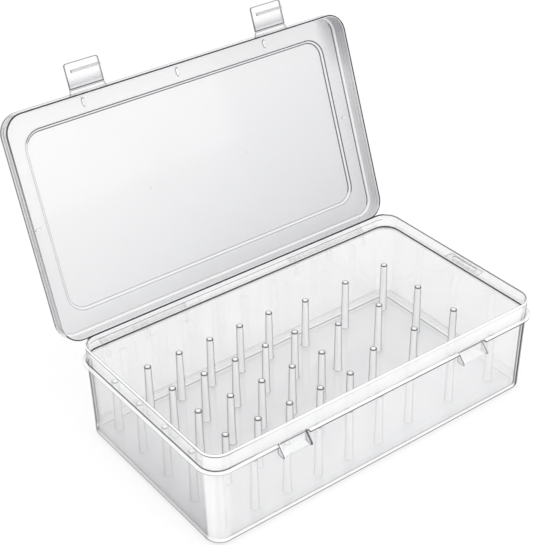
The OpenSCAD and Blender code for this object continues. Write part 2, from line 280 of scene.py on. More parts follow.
# Painted shade on the lid and latches, in places of the open lid: the lid greyer to the right, lower down
# and at its ends; the latches greyer downwards, with a painted highlight at their root
lidShade = {
    "least": 0.36,
    "rightX": (-160.0, 160.0),
    "right": 0.3,
    "downZ": (235.0, 66.0),
    "down": 0.3,
    "endX": (156.0, 158.3),
    "end": 0.1,
    "topX": (140.0, 158.3),                # painted shade on the right end, near its free corner
    "topZ": (190.0, 235.0),
    "top": 1.1,
}
latchShade = {
    "shadeZ": (257.5, 249.5),
    "smoke": 1.3,
    "rootZ": (249.5, 248.5),
}


def lidTone(web, axes):
    x, y, z = axes
    look = lidShade
    shade = look["least"] + web.span(x, look["rightX"]) * look["right"]
    shade = shade + web.span(z, look["downZ"]) * look["down"]
    shade = shade + web.span(x.size(), look["endX"]) * look["end"]
    return shade + web.span(x, look["topX"]) * web.span(z, look["topZ"]) * look["top"]


def latchTone(web, axes):
    z = axes[2]
    return web.span(z, latchShade["shadeZ"]) * latchShade["smoke"] - web.span(z, latchShade["rootZ"])


cornerSteps = 14                           # in a quarter turn
endInset = 0.35                            # millimetres, as are the next two
weldReach = 0.002
leastEdge = 0.001
bends = {
    "widest": 32,                          # degrees; a sharper turn is an edge, not a bend
    "start": 2.5,
    "spread": 3,
    "bright": -0.95,                       # bright edges below this never darken
}


# Points round a rectangle with round corners, anticlockwise; cuts are extra points on its front side
def outline(halfL, halfW, radius, cuts=()):
    points = []
    for signX, signY, start in [(1, -1, -90), (1, 1, 0), (-1, 1, 90), (-1, -1, 180)]:
        for step in range(cornerSteps + 1):
            angle = math.radians(start + 90 * step / cornerSteps)
            x = signX * (halfL - radius) + radius * math.cos(angle)
            y = signY * (halfW - radius) + radius * math.sin(angle)
            points.append((x, y))
    return points + [(x, -halfW) for x in cuts]


# An arc of (across, up, edge), its edge look read off a few stops spread along it
def arcOf(x, z, radius, start, end, steps, stops=(0.0, 0.0)):
    made = []
    for i in range(steps + 1):
        angle = math.radians(start + (end - start) * i / steps)
        spot = i / steps * (len(stops) - 1)
        low = min(int(spot), len(stops) - 2)
        edge = stops[low] + (stops[low + 1] - stops[low]) * (spot - low)
        made.append((x + radius * math.cos(angle), z + radius * math.sin(angle), edge))
    return made


# Adds a point close to both ends of each long stretch, so that what marks an edge stays on the edge
def fenced(profile, reach=0.7):
    made = [profile[0]]
    for near, far in zip(profile, profile[1:]):
        length = math.dist(near[:-1], far[:-1])
        if length > 2.5 * reach:
            alike = abs(near[-1] - far[-1]) < 0.15
            edge = near[-1] if alike else 0.0
            for share in (reach / length, 1 - reach / length):
                between = [a + (b - a) * share for a, b in zip(near[:-1], far[:-1])]
                made.append((*between, edge))
        made.append(far)
    return made


def level(points, z, edge=0.0):
    return [(x, y, z, edge) for x, y in points]


def across(points, x, edge=0.0):
    return [(x, y, z, edge) for y, z in points]


# Skins a row of rings of (x, y, z, edge). In a loop the last joins the first; otherwise both ends close
def skin(name, rings, loop=False, sharp=40):
    mesh = bmesh.new()
    # edge: above 0 a painted dark line, below 0 a painted highlight
    edgeLayer = mesh.verts.layers.float.new("edge")
    rows = []
    for points in rings:
        row = []
        for x, y, z, edge in points:
            vert = mesh.verts.new(Vector((x, y, z)) * mm)
            vert[edgeLayer] = edge
            row.append(vert)
        rows.append(row)
    for low, high in zip(rows, rows[1:] + rows[:1] if loop else rows[1:]):
        for i in range(len(low)):
            mesh.faces.new((low[i - 1], low[i], high[i], high[i - 1]))
    if not loop:
        ends = [mesh.faces.new(rows[0]), mesh.faces.new(rows[-1])]
        bmesh.ops.recalc_face_normals(mesh, faces=mesh.faces)
        lined = [end for end in ends if any(vert[edgeLayer] for vert in end.verts)]
        bmesh.ops.inset_individual(mesh, faces=lined, thickness=endInset * mm, use_even_offset=True)
        for end in lined:
            for vert in end.verts:
                vert[edgeLayer] = 0.0
    bmesh.ops.remove_doubles(mesh, verts=mesh.verts, dist=weldReach * mm)
    bmesh.ops.dissolve_degenerate(mesh, edges=mesh.edges, dist=leastEdge * mm)
    bmesh.ops.recalc_face_normals(mesh, faces=mesh.faces)
    markBends(mesh)
    return asObject(name, mesh, sharp)


# Marks the points where the skin curves smoothly: seen along itself, plastic goes dark there
def markBends(mesh):
    bendLayer = mesh.verts.layers.float.new("bend")
    edgeLayer = mesh.verts.layers.float["edge"]
    for vert in mesh.verts:
        turns = [math.degrees(side.calc_face_angle(0)) for side in vert.link_edges]
        widest = max([turn for turn in turns if turn < bends["widest"]] + [0])
        bright = vert[edgeLayer] < bends["bright"]
        vert[bendLayer] = 0 if bright else min(1, max(0, (widest - bends["start"]) / bends["spread"]))


def asObject(name, mesh, sharp=40):
    data = bpy.data.meshes.new(name)
    mesh.to_mesh(data)
    mesh.free()
    data.shade_smooth()
    data.set_sharp_from_angle(angle=math.radians(sharp))
    piece = bpy.data.objects.new(name, data)
    bpy.context.scene.collection.objects.link(piece)
    return piece


# Turns a profile of (radius, height, edge) round the Z axis into a tube
def turned(name, profile, x, y, steps=32):
    rings = []
    for radius, z, edge in profile:
        angles = [2 * math.pi * i / steps for i in range(steps)]
        rings.append([(x + radius * math.cos(a), y + radius * math.sin(a), z, edge) for a in angles])
    return skin(name, rings, loop=True)


# A slab with bevelled edges; ring(inset) gives its outline at an inset
def slab(name, ring, low, high, bevel, edge=0.6):
    rings = [
        level(ring(bevel + 0.5), low), level(ring(bevel), low, edge), level(ring(0), low + bevel, edge),
        level(ring(0), high - bevel, edge), level(ring(bevel), high, edge), level(ring(bevel + 0.5), high),
    ]
    return skin(name, rings)


# A bar along X with a round hole on its axis; its outline is a list of (y, z) seen from that axis
def borePart(name, shape, hole, startX, endX, bevel=0.25, edge=0.5):
    def sized(by):
        return [(y * (1 + by / math.hypot(y, z)), z * (1 + by / math.hypot(y, z))) for y, z in shape]

    def bore(radius):
        return [(radius * y / math.hypot(y, z), radius * z / math.hypot(y, z)) for y, z in shape]

    rings = [
        across(sized(-bevel - 0.4), startX), across(sized(-bevel), startX, edge),
        across(shape, startX + bevel, edge), across(shape, startX + 3 * bevel),
        across(shape, endX - 3 * bevel), across(shape, endX - bevel, edge),
        across(sized(-bevel), endX, edge), across(sized(-bevel - 0.4), endX),
        across(bore(hole + 0.15), endX, edge), across(bore(hole), endX - 0.15),
        across(bore(hole), startX + 0.15), across(bore(hole + 0.15), startX, edge),
    ]
    return skin(name, rings, loop=True)


def finishPiece(piece, body, material, nodes=()):
    piece.data.materials.clear()
    piece.data.materials.append(material)
    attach(piece, body)
    if nodes:
        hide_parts(*nodes)
    return piece


# Sizes that several pieces share, in millimetres
box = {
    "halfL": 155.0,                        # over the neck
    "halfW": 87.0,
    "corner": 14.5,
    "draft": 0.02,
    "flangeZ": 70.0,
    "neckTop": 84.0,
    "floor": 2.2,
    "latchX": 86.0,
    "hingeX": 92.5,
    "hingeL": 78.0,
    "hingeY": 95.0,
    "hingeZ": 69.8,
    "openAngle": 110.0,
    "latchY": -95.2,                       # the latches' film line, on the closed lid
}

hingeLine = Vector((0, box["hingeY"], box["hingeZ"])) * mm
opened = (
    Matrix.Translation(hingeLine)
    @ Matrix.Rotation(math.radians(-box["openAngle"]), 4, "X")
    @ Matrix.Translation(-hingeLine)
)


def swingOpen(piece):
    piece.data.transform(opened)
    return piece


tub = {
    "footOut": 4.0,                        # rounding of the bottom edge
    "footIn": 3.0,
    "wall": 2.2,
    "neckWall": 1.5,
    "flange": 3.0,
    "flangeT": 1.8,
    "stepZ": 72.4,                         # second line inside the neck
    "gap": 28.0,                           # break in the flange at each catch
    "ledgeZ": 79.2,                        # thin line inside the rim at the back
}


def makeTub(material):
    low = -box["draft"] * box["flangeZ"]
    inLow = -tub["wall"] - box["draft"] * (box["flangeZ"] - box["floor"])
    shelf, top, step = box["flangeZ"], box["neckTop"], tub["stepZ"]
    under, reach, neck = shelf - tub["flangeT"], tub["flange"], -tub["neckWall"]
    foot, fillet = tub["footOut"], tub["footIn"]
    # Edge values: above 0 painted dark lines, below 0 painted highlight bands above the foot, on the
    # flange, on the neck top and in the inner fillet
    profile = [(low - foot - 3, 0, 0)]
    profile += arcOf(low - foot, foot, foot, -90, 0, 10, (0.1, 0.4, 0.7, 0.9, 0.8, 0.0, -0.8))
    profile += [(low + 0.02, foot + 1.0, -0.9), (low + 0.04, foot + 2.0, -0.5), (low + 0.06, foot + 3.0, 0)]
    profile += [(0, under - 0.9, 0), (0, under - 0.4, 0.3), (0.3, under, 0.4)]
    profile += arcOf(reach - 0.5, under + 0.5, 0.5, -90, 0, 4, (0.5, 1.0, 1.0))
    profile += [(reach, under + 1.2, 1.0), (reach, under + 1.28, -0.6)]
    profile += arcOf(reach - 0.5, shelf - 0.5, 0.5, 0, 90, 4, (-0.9, -1.0))
    profile += [(0.9, shelf, -1.0), (0.55, shelf, 0.25), (0.2, shelf + 0.1, 0.4), (0, shelf + 0.3, 0.4)]
    profile += [(0, shelf + 0.7, 0.3), (0, shelf + 1.1, 0)]
    profile += [(0, top - 2.3, 0), (0, top - 1.9, 0.5), (0, top - 1.5, 0.5), (0, top - 1.1, -0.8)]
    profile += arcOf(-0.5, top - 0.5, 0.5, 0, 90, 4, (-0.9, -1.0))
    profile += [(neck + 0.6, top, -1.0)] + arcOf(neck + 0.5, top - 0.5, 0.5, 90, 180, 4, (0.8, 0.9, 0.9))
    profile += [(neck, top - 0.9, 0.7), (neck, top - 1.3, 0.0)]
    profile += [(neck, tub["ledgeZ"] + add, 0.0) for add in (0.8, 0.4, -0.1, -0.5)]
    profile += [(neck, step + 2.0, 0.0), (neck, step + 1.2, 0.15), (neck, step + 0.6, 0.2)]
    profile += [(neck, step + 0.25, 1)]
    profile += [(neck - 0.25, step, 1), (neck - 0.3, step - 0.7, 1), (neck - 0.3, step - 1.0, 0.2)]
    profile += [(neck - 0.35, shelf + 0.3, 0.0), (-tub["wall"], shelf - 0.2, 0.0)]
    profile += arcOf(inLow - fillet, box["floor"] + fillet, fillet, 0, -90, 8, (0, -0.3, -0.7, -0.2))
    profile += [(inLow - fillet - add, box["floor"], edge) for add, edge in
                ((0.06, 0.0), (0.12, 1.0), (0.60, 1.0), (0.70, 0.0), (3.0, 0.0))]
    gapEdges = []
    for middle in (-box["latchX"], box["latchX"]):
        for side in (-1, 1):
            gapEdges += sorted([middle + side * tub["gap"] / 2, middle + side * (tub["gap"] / 2 + 0.05)])
    flat = len(outline(box["halfL"], box["halfW"], box["corner"]))
    rings = []
    for offset, z, edge in fenced(profile):
        points = []
        for i, point in enumerate(ringAt(offset, gapEdges)):
            inGap = i >= flat and abs(abs(point[0]) - box["latchX"]) <= tub["gap"] / 2 + 0.01
            if inGap and offset > 0:
                point = ringAt(0, gapEdges)[i]
            shown = nearSide(point, offset, z, backRim(point[1], offset, z, edge))
            points.append((*point, z, shown))
        rings.append(points)
    piece = skin("tubShell", rings)
    return finishPiece(piece, "tub", material, ["tub"])


# How strong the tub's painted dark lines and bright bands are on its different sides
tubLine = {
    "cornerShare": 0.3,                    # how far round a corner an end's lines reach, in radii
    "stepReach": 1.3,                      # half height of the step's lines
    "inside": 0.25,                        # lines of the inside, on the left and front walls
    "foot": 0.4,                           # line along the bottom, on the right and back walls
    "neckFoot": 2.5,                       # round the left end
    "flange": 0.45,                        # round the left end
    "rimBack": 1.0,
    "bandBack": -0.5,
    "ledgeBack": 0.75,
}


# Painted dark lines, stronger or fainter by side. Round the left end and its front corner the dark line
# stands at the neck's foot; along the front it lies under the flange. The step inside shows only where the
# inside of the wall is seen
def nearSide(point, offset, z, edge):
    x, y = point
    near = box["corner"] * tubLine["cornerShare"] - offset
    left, front = x < near - box["halfL"], y < near - box["halfW"]
    atCorner = x < box["corner"] + 0.1 - box["halfL"] and y < 0
    atStep = abs(z - tub["stepZ"]) < tubLine["stepReach"] and offset < 0
    atFloor = 0.1 < z < box["floor"] + 0.1 and offset < -5
    if edge <= 0:
        return edge
    if atStep or atFloor:
        return edge * tubLine["inside"] if left or front or atCorner and offset < -5 else edge
    if z < tub["footOut"] and offset > -8 and not (left or front or atCorner):
        return edge * tubLine["foot"]
    if left or atCorner:
        if 0 <= offset < 0.6 and z > box["flangeZ"] - 0.1:
            return min(1, edge * tubLine["neckFoot"])
        if z < box["flangeZ"] and offset > 1:
            return edge * tubLine["flange"]
    return edge


# The rim's back side lies against the lid: its top gets a painted shadow line, over a painted bright band
# and a thin painted dark line
def backRim(y, offset, z, edge):
    if y < box["halfW"] - 3 or z < tub["ledgeZ"] - 0.3:
        return edge
    if z > box["neckTop"] - 0.6:
        return tubLine["rimBack"]
    if offset < 0 and z > tub["ledgeZ"] + 0.6:
        return tubLine["bandBack"]
    return tubLine["ledgeBack"] if offset < 0 and z < tub["ledgeZ"] + 0.5 else edge


def ringAt(offset, cuts=()):
    return outline(box["halfL"] + offset, box["halfW"] + offset, box["corner"] + offset, cuts)


catch = {
    "width": 26.0,
    "tip": -93.6,
    "ramp": 62.0,                          # height where the ramp ends and the lip begins
    "lip": 60.5,
    "thick": 1.6,
    "cheek": 0.3,                          # how far the cheeks stand out past the ramp
    "sunk": 0.1,                           # how far it goes into the neck
    "dark": 0.95,                          # painted dark line along a cheek's outline
    "pale": -0.7,                          # painted highlight between its outlines
    "filled": 0.8,                         # painted shade over the left catch's inner cheek
    # a faint painted highlight on the right catch's inner cheek instead
    "unfilled": -0.3,
    "linedLeft": 1.2,                      # width of the right cheek's painted dark side, on each catch
    "linedRight": 0.7,
}


def makeCatch(name, x, material):
    root = -box["halfW"] + catch["sunk"]
    tilt = (box["flangeZ"] - catch["ramp"]) / (root - catch["tip"])
    upright = catch["thick"] * math.hypot(1, tilt)
    inner = catch["tip"] + catch["thick"]
    out = catch["tip"] - catch["cheek"]
    low = box["flangeZ"] - upright
    ramp = [
        (root, box["flangeZ"], 0.4), (root - 0.7, box["flangeZ"] - 0.7 * tilt, 0.0),
        (catch["tip"] + 0.5, catch["ramp"] + 0.5 * tilt, -0.1), (catch["tip"], catch["ramp"], 0.45),
        (catch["tip"], catch["lip"] + 0.4, -0.5), (catch["tip"], catch["lip"], 0.6),
        (inner, catch["lip"], 0.1), (inner, catch["ramp"] + catch["thick"] * tilt - upright, 0.0),
        (root, low, 0.0),
    ]
    cheek = [
        (root, box["flangeZ"] + 0.02), (root - 0.8, box["flangeZ"] - 0.8 * tilt),
        (out + 0.5, catch["ramp"] + 0.5 * tilt), (out, catch["ramp"] + 0.02), (out, catch["lip"] + 0.4),
        (out, catch["lip"] - 0.02), (inner, catch["lip"] - 0.02), (root - 0.1, catch["lip"] - 0.02),
        (root - 0.02, low),
    ]
    half, thick = catch["width"] / 2, catch["thick"]
    left, right = x - half, x + half
    dark, pale = catch["dark"], catch["pale"]
    rings = [
        across(cheek, left, dark), across(cheek, left + 0.7, 0.9), across(cheek, left + 0.85, pale),
        across(cheek, left + thick, pale),
    ]
    for along, shade in [(thick + 0.02, 0.3), (thick + 0.6, 0.0), (2 * half - thick - 0.6, 0.0),
                         (2 * half - thick - 0.02, 0.5)]:
        rings.append([(left + along, y, z, max(edge, shade) if shade else edge) for y, z, edge in ramp])
    filled, lined = catch["unfilled"], catch["linedRight"]
    if x < 0:
        filled, lined = catch["filled"], catch["linedLeft"]
    for share in (0.4, 0.7):
        rings.append([(right - thick - 0.01, y + (far[0] - y) * share, z + (far[1] - z) * share, filled)
                      for (y, z, edge), far in zip(ramp, cheek)])
    rings += [
        across(cheek, right - thick, dark), across(cheek, right - thick + lined, dark),
        across(cheek, right - thick + lined + 0.1, pale), across(cheek, right - 0.29, pale),
        across(cheek, right - 0.2, 0.9), across(cheek, right, dark),
    ]
    piece = skin(name, rings, sharp=25)
    return finishPiece(piece, "tub", material)


lug = {
    "halfW": 19.0,
    "out": 12.5,
    "slotL": 27.0,
    "slotW": 3.6,
    "bar": 1.9,
    "corner": 1.8,
    "bevel": 0.3,
    "sunk": 0.6,                           # how far it goes into the flange
    "thinner": 0.05,                       # than the flange, on each face
}


def makeLug(material):
    start = box["halfL"] + tub["flange"] - lug["sunk"]
    end = box["halfL"] + lug["out"]
    middle = (start + end) / 2
    slotX = end - lug["bar"] - lug["slotW"] / 2
    low = box["flangeZ"] - tub["flangeT"] + lug["thinner"]
    high = box["flangeZ"] - lug["thinner"]

    def outer(inset, z, edge):
        points = outline((end - start) / 2 - inset, lug["halfW"] - inset, lug["corner"] - inset)
        return [(middle + px, py, z, edge) for px, py in points]

    def inner(inset, z, edge):
        half = lug["slotW"] / 2 + inset
        points = outline(half, lug["slotL"] / 2 + inset, half - 0.01)
        return [(slotX + px, py, z, edge) for px, py in points]

    bevel = lug["bevel"]
    # Painted dark lines at the bevels, with a painted highlight inside the top outline and round the slot
    rings = [
        outer(bevel * 2, low, 0.0), outer(bevel, low, 0.8), outer(0, low + bevel, 0.9),
        outer(0, high - bevel, 0.3), outer(bevel, high, 0.5), outer(bevel * 2, high, -0.6),
        outer(bevel * 5, high, 0.0), inner(bevel * 4, high, 0.0),
        inner(bevel * 2, high, -0.6), inner(bevel, high, 1.0), inner(0, high - bevel, 1.0),
        inner(0, low + bevel, 0.6), inner(bevel, low, 0.6), inner(bevel * 2, low, 0.0),
    ]
    return finishPiece(skin("endLug", rings, loop=True), "tub", material)


hinge = {
    "barrelR": 2.9,
    "hole": 1.4,
    "earT": 4.0,
    "earGap": 0.4,
    "webDrop": 12.8,                       # how far the ear's web runs down the wall
    "stopR": 4.85,                         # distance of the stop's flat from the axis
    "toe": 2.6,
    "armLow": 0.6,                         # underside of the arm that joins a barrel to the lid
    "armSunk": 0.1,                        # how far the arm goes into the lid's wall
    "rodR": 1.35,
    "headR": 2.05,
    "headT": 0.8,
}


def arcPoints(radius, start, end, steps):
    angles = [math.radians(start + (end - start) * i / steps) for i in range(steps + 1)]
    return [(radius * math.cos(a), radius * math.sin(a)) for a in angles]


def earShape():
    reach = box["hingeY"] - box["halfW"]
    turn = math.radians(180 - box["openAngle"])
    out = Vector((math.cos(turn), math.sin(turn)))
    along = Vector((math.sin(turn), -math.cos(turn)))
    toeEnd = out * hinge["stopR"] + along * hinge["toe"]
    toeStart = out * hinge["stopR"] - along * hinge["toe"] / 10
    barrel = hinge["barrelR"]
    neck = math.degrees(math.atan2(toeStart.y, toeStart.x))
    wall = [(-reach, -hinge["webDrop"] * (1 - share)) for share in (0.0, 0.35, 0.7)]
    return (
        arcPoints(barrel, -90, 0, 10) + [tuple(toeEnd), tuple((toeStart + toeEnd) / 2), tuple(toeStart)]
        + arcPoints(barrel, neck + 6, 176, 10) + [(-reach, 0.15)] + wall[::-1]
    )


def makeHinge(side, earMaterial, rodMaterial):
    name = "Left" if side < 0 else "Right"
    middle = side * box["hingeX"]
    half = box["hingeL"] / 2
    place = Matrix.Translation(Vector((0, box["hingeY"], box["hingeZ"])) * mm)
    for number, x in enumerate((middle - half, middle - hinge["earT"] / 2, middle + half - hinge["earT"])):
        ear = borePart(f"ear{name}{number + 1}", earShape(), hinge["hole"], x, x + hinge["earT"])
        ear.data.transform(place)
        finishPiece(ear, "tub", earMaterial)
    arm = box["hingeY"] - lid["halfW"]
    barrel, armLow, armEnd = hinge["barrelR"], hinge["armLow"], -arm - hinge["armSunk"]
    shape = arcPoints(barrel, -90, 90, 16) + [(-arm * 0.5, barrel), (armEnd, barrel), (armEnd, armLow)]
    shape += [(-arm * 0.8, armLow)] + arcPoints(barrel, 168, 262, 12)
    length = (box["hingeL"] - 3 * hinge["earT"]) / 2 - 2 * hinge["earGap"]
    inner = hinge["earT"] / 2 + hinge["earGap"]
    for number, x in enumerate((middle - inner - length, middle + inner)):
        sleeve = borePart(f"barrel{name}{number + 1}", shape, hinge["hole"], x, x + length)
        sleeve.data.transform(place)
        finishPiece(swingOpen(sleeve), "lid", earMaterial)
    rod, head, end = hinge["rodR"], hinge["headR"], half + hinge["headT"]
    profile = [(0.02, -end, 0.3), (head - 0.3, -end, 0.5), (head, -end + 0.3, 0.5), (head, -half, 0.5)]
    profile += [(rod, -half, 0.2), (rod, half, 0.2), (head, half, 0.5), (head, end - 0.3, 0.5)]
    profile += [(head - 0.3, end, 0.5), (0.02, end, 0.3)]
    pin = turned(f"hingeRod{name}", profile, 0, 0, 28)
    pin.data.transform(Matrix.Rotation(math.pi / 2, 4, "Y"))
    pin.data.transform(Matrix.Translation(Vector((middle, box["hingeY"], box["hingeZ"])) * mm))
    finishPiece(pin, "tub", rodMaterial, [f"hinge_rod_{name.lower()}"])


# The lid is made shut and swung open
lid = {
    "halfL": 159.5,
    "halfW": 90.0,
    "corner": 15.9,
    "thick": 1.6,
    "rimZ": 70.3,
    "roofZ": 84.5,                         # underside of the brim
    "edgeOut": 5.0,
    "edgeIn": 2.0,
    "brim": 17.5,
    "rise": 2.2,                           # height of the raised panel
    "slope": 1.8,
    "panelR": 15.0,
    "rimStep": 3.0,                        # depth of the step inside the rim
    "skirtShade": 0.32,
}


def makeLid(material):
    outer = lid["roofZ"] + lid["thick"]
    grow = lid["thick"] / 2

    # a ring set in from the lid's outer wall, and one set in from the foot of the raised panel
    def edgeRing(inset, z, edge):
        return lid["halfL"] - inset, lid["halfW"] - inset, lid["corner"] - inset, z, edge

    def panelRing(inset, z, edge):
        return (
            lid["halfL"] - lid["brim"] - inset, lid["halfW"] - lid["brim"] - inset,
            lid["panelR"] - inset, z, edge,
        )

    top, roof, rim, thick = outer + lid["rise"], lid["roofZ"], lid["rimZ"], lid["thick"]
    # Edge values: above 0 painted dark lines, below 0 painted highlight bands on the rim, inside the brim's
    # rounding and on the panel's slope
    profile = [
        panelRing(lid["slope"] - grow + 3, top, 0.0),
        panelRing(lid["slope"] - grow + 0.4, top, 0.2),
        panelRing(lid["slope"] - grow, top - 0.2, 0.2),
        panelRing(-grow, outer + 0.2, 0.1),
        panelRing(-grow - 0.4, outer, 0.1),
    ]
    brow = (0, 0, 0, 0, 0, 0.4, 0.9, 0.9, 0.9)
    for inset, z, edge in arcOf(lid["edgeOut"], outer - lid["edgeOut"], lid["edgeOut"], 90, 180, 8, brow):
        profile.append(edgeRing(inset, z, edge))
    profile += [
        edgeRing(0, outer - lid["edgeOut"] - 1.7, 0.9), edgeRing(0, outer - lid["edgeOut"] - 1.9, 0.0),
        edgeRing(0, rim + 1.4, 0.0), edgeRing(0, rim + 0.9, 1.0), edgeRing(0, rim + 0.15, 1.0),
        edgeRing(0.15, rim, 1.0), edgeRing(1.0, rim, 1.0), edgeRing(1.1, rim, -1.0),
        edgeRing(thick - 0.3, rim, -1.0), edgeRing(thick - 0.2, rim + 0.15, -0.5),
        edgeRing(thick - 0.2, rim + 0.6, lid["skirtShade"]),
        edgeRing(thick - 0.2, rim + lid["rimStep"], lid["skirtShade"]),
        edgeRing(thick, rim + lid["rimStep"] + 0.2, 0.75),
        edgeRing(thick, rim + lid["rimStep"] + 0.7, lid["skirtShade"]),
        edgeRing(thick, roof - lid["edgeIn"] - 0.7, lid["skirtShade"] * 0.8),
    ]
    stops = (0.3, -0.8, -0.9, -0.9, 0.3, 1.0)
    inside = thick + lid["edgeIn"]
    for inset, z, edge in arcOf(inside, roof - lid["edgeIn"], lid["edgeIn"], 180, 90, 10, stops):
        profile.append(edgeRing(inset, z, edge))
    profile += [
        edgeRing(inside + 0.5, roof, 1.0), edgeRing(inside + 0.65, roof, 0.0),
        panelRing(-0.9, roof, 0.0), panelRing(-0.5, roof, 0.95),
        panelRing(0.2, roof + 0.3, 0.95), panelRing(0.4, roof + 0.6, -0.5),
        panelRing(lid["slope"] - 0.5, roof + lid["rise"] - 0.7, -0.5),
        panelRing(lid["slope"] - 0.2, roof + lid["rise"] - 0.3, 0.95),
        panelRing(lid["slope"] + 0.4, roof + lid["rise"], 0.95),
        panelRing(lid["slope"] + 0.8, roof + lid["rise"], 0.0),
        panelRing(lid["slope"] + 3, roof + lid["rise"], 0.0),
    ]
    rings = []
    for halfL, halfW, radius, z, edge in fenced(profile):
        rings.append([(x, y, z, sideLine(x, y, z, edge, halfL)) for x, y in outline(halfL, halfW, radius)])
    return finishPiece(swingOpen(skin("lidShell", rings)), "lid", material, ["lid"])


# How strong the lid's painted dark lines and bright band are on its different sides
lidLine = {
    "faint": 0.35,                         # an edge look up to this is the same all round
    "rimLeft": 0.75,
    "rimLeftSlope": 0.25,                  # how much more the left rim has at its free end
    "rimBand": -0.8,
    "outerFree": 0.5,                      # outer edge of the right half, along the free side
    "outerHinge": 0.1,                     # and along the hinge side
    "outerFade": 0.85,                     # how much the left half's fades towards the hinges
    "panel": 0.55,
    "brimLeft": 0.8,
    "brimHinge": 0.45,
    "brimFree": 0.3,
}


# The painted dark lines are strongest down the right side and faint along the free and hinge sides; low on
# the rim's right and back sides a painted bright band takes their place
def sideLine(x, y, z, edge, halfL):
    look = lidLine
    right, left, back = x > halfL - 2, x < 2 - halfL, y > lid["halfW"] - 3.5
    if z < lid["rimZ"] + 0.05:
        edge = 1.0 if right or back and x > 0 else edge
    if z < lid["rimZ"] + 2 and edge > look["faint"]:
        return edge * (look["rimLeft"] - look["rimLeftSlope"] * y / lid["halfW"]) if left else edge
    if z < lid["rimZ"] + 1 and (right or back):
        return look["rimBand"]
    if edge <= look["faint"]:
        return edge
    if halfL > lid["halfL"] - 1:           # the outer edge
        fade = min(1, max(0, (y - lid["halfW"]) / lid["corner"] + 1))
        if x < 0:
            return edge * (1 - look["outerFade"] * fade)
        return edge * (look["outerFree"] if y < 0 else look["outerHinge"])
    if halfL < lid["halfL"] - lid["brim"] + 3:
        return edge * (1.0 if right or not left and y < 0 else look["panel"])
    if right:
        return edge
    return edge * (look["brimLeft"] if left else look["brimHinge"] if y > 0 else look["brimFree"])


# A latch is a tab on the lid and a flap that folds down
latch = {
    "width": 29.6,
    "length": 19.0,
    "thick": 1.8,
    "corner": 2.0,
    "flare": 2.4,
    "filmGap": 0.3,
    "tabSunk": 0.05,                       # how far the tab goes into the skirt
    "hookDrop": 11.3,
    "hookW": 2.4,
    "hookTop": 0.5,
    "hookH": 2.0,
    "hookMargin": 4.0,
}


def makeTab(name, x, material):
    skirt = -lid["halfW"] + latch["tabSunk"]
    end = box["latchY"] + latch["thick"] / 2 + latch["filmGap"]
    wide = (latch["width"] + latch["flare"]) / 2
    narrow = latch["width"] / 2

    def ring(inset):
        return [(x - wide + inset, skirt), (x - narrow + inset, end + inset),
                (x + narrow - inset, end + inset), (x + wide - inset, skirt)]

    piece = slab(name, ring, lid["rimZ"], lid["rimZ"] + latch["thick"], 0.25, 0.65)
    return finishPiece(swingOpen(piece), "lid", material)


def makeFlap(name, x, material):
    film = box["latchY"]
    root = latch["thick"] / 2
    middleZ = lid["rimZ"] + root
    free = film - latch["length"]
    levels = []
    for share, inset in [(-1, 0.35), (-0.85, 0.1), (-0.5, 0), (0, 0), (0.5, 0), (0.85, 0.1), (1, 0.35)]:
        rootInset = root - root * math.sqrt(max(0, 1 - share * share))
        levels.append((share * root, inset, rootInset))

    def ring(inset, rootInset, grow=0.0):
        near = film + root - rootInset - grow
        far = free + inset + grow
        halfL = latch["width"] / 2 - inset - grow
        points = outline(halfL, (near - far) / 2, latch["corner"] - inset)
        squared = []
        for px, py in points:
            if py > 0:                     # the film side keeps square corners
                px = math.copysign(halfL, px) if abs(px) > halfL - latch["corner"] else px
            squared.append((x + px, (near + far) / 2 + py))
        return squared

    rings = [level(ring(0.35, root, 0.5), middleZ - root)]
    for height, inset, rootInset in levels:
        rings.append(level(ring(inset, rootInset), middleZ + height, 0.85))
    rings.append(level(ring(0.35, root, 0.5), middleZ + root))
    flap = skin(name, rings)
    joinInto(flap, makeHook(name, x, film))
    nodes = ["latch_left" if x < 0 else "latch_right"]
    return finishPiece(swingOpen(flap), nodes[0], material, nodes)


# The ridge across the flap that goes under the catch; its left end is round. Its faces carry a painted
# highlight between painted dark lines
def makeHook(name, x, film):
    face = film - latch["hookDrop"]
    low, top = lid["rimZ"] - latch["hookH"], lid["rimZ"] + 0.05
    back = face - latch["hookW"]
    shape = [
        (face, top, 0.6), (face, top - 0.5, -0.2), (face, low + 0.4, -0.8), (face, low, -0.5),
        (face - 0.25, low, -0.8), (face - latch["hookTop"], low, -0.8),
        (back + 0.4, lid["rimZ"] - 0.2, -0.6), (back, top, 0.7),
    ]
    middle = face - latch["hookW"] / 2
    start, end = x - latch["width"] / 2 + latch["hookMargin"], x + latch["width"] / 2
    stations = [(start + (1 - math.sqrt(1 - (1 - share) ** 2)) * latch["hookW"] / 2, share, 0.6)
                for share in (0.12, 0.3, 0.6, 0.85, 1.0)]
    stations += [(start + latch["hookW"], 1.0, 0.0), (end - 0.6, 1.0, 0.0), (end, 0.95, 0.5)]
    rings = []
    for along, share, edge in stations:
        drop = min(1, share + 0.3)
        rings.append([(along, middle + (y - middle) * share, top + (z - top) * drop, max(tone, edge))
                      for y, z, tone in shape])
    return skin(name + "Hook", rings, sharp=25)


def joinInto(piece, other):
    mesh = bmesh.new()
    mesh.from_mesh(piece.data)
    mesh.from_mesh(other.data)
    mesh.to_mesh(piece.data)
    mesh.free()
    bpy.data.objects.remove(other)


# Moulding pips on the underside of the lid
pip = {
    "width": 4.0,
    "length": 7.6,
    "height": 0.6,
    "taper": 0.35,
    "sunk": 0.05,                          # how far its foot goes into the lid
    "endWidth": 2.0,                       # the drops at the lid's ends are smaller
    "endLength": 5.7,
    "endShift": 1.0,
    "panelX": 47.0,
    "panelR": 0.8,
}


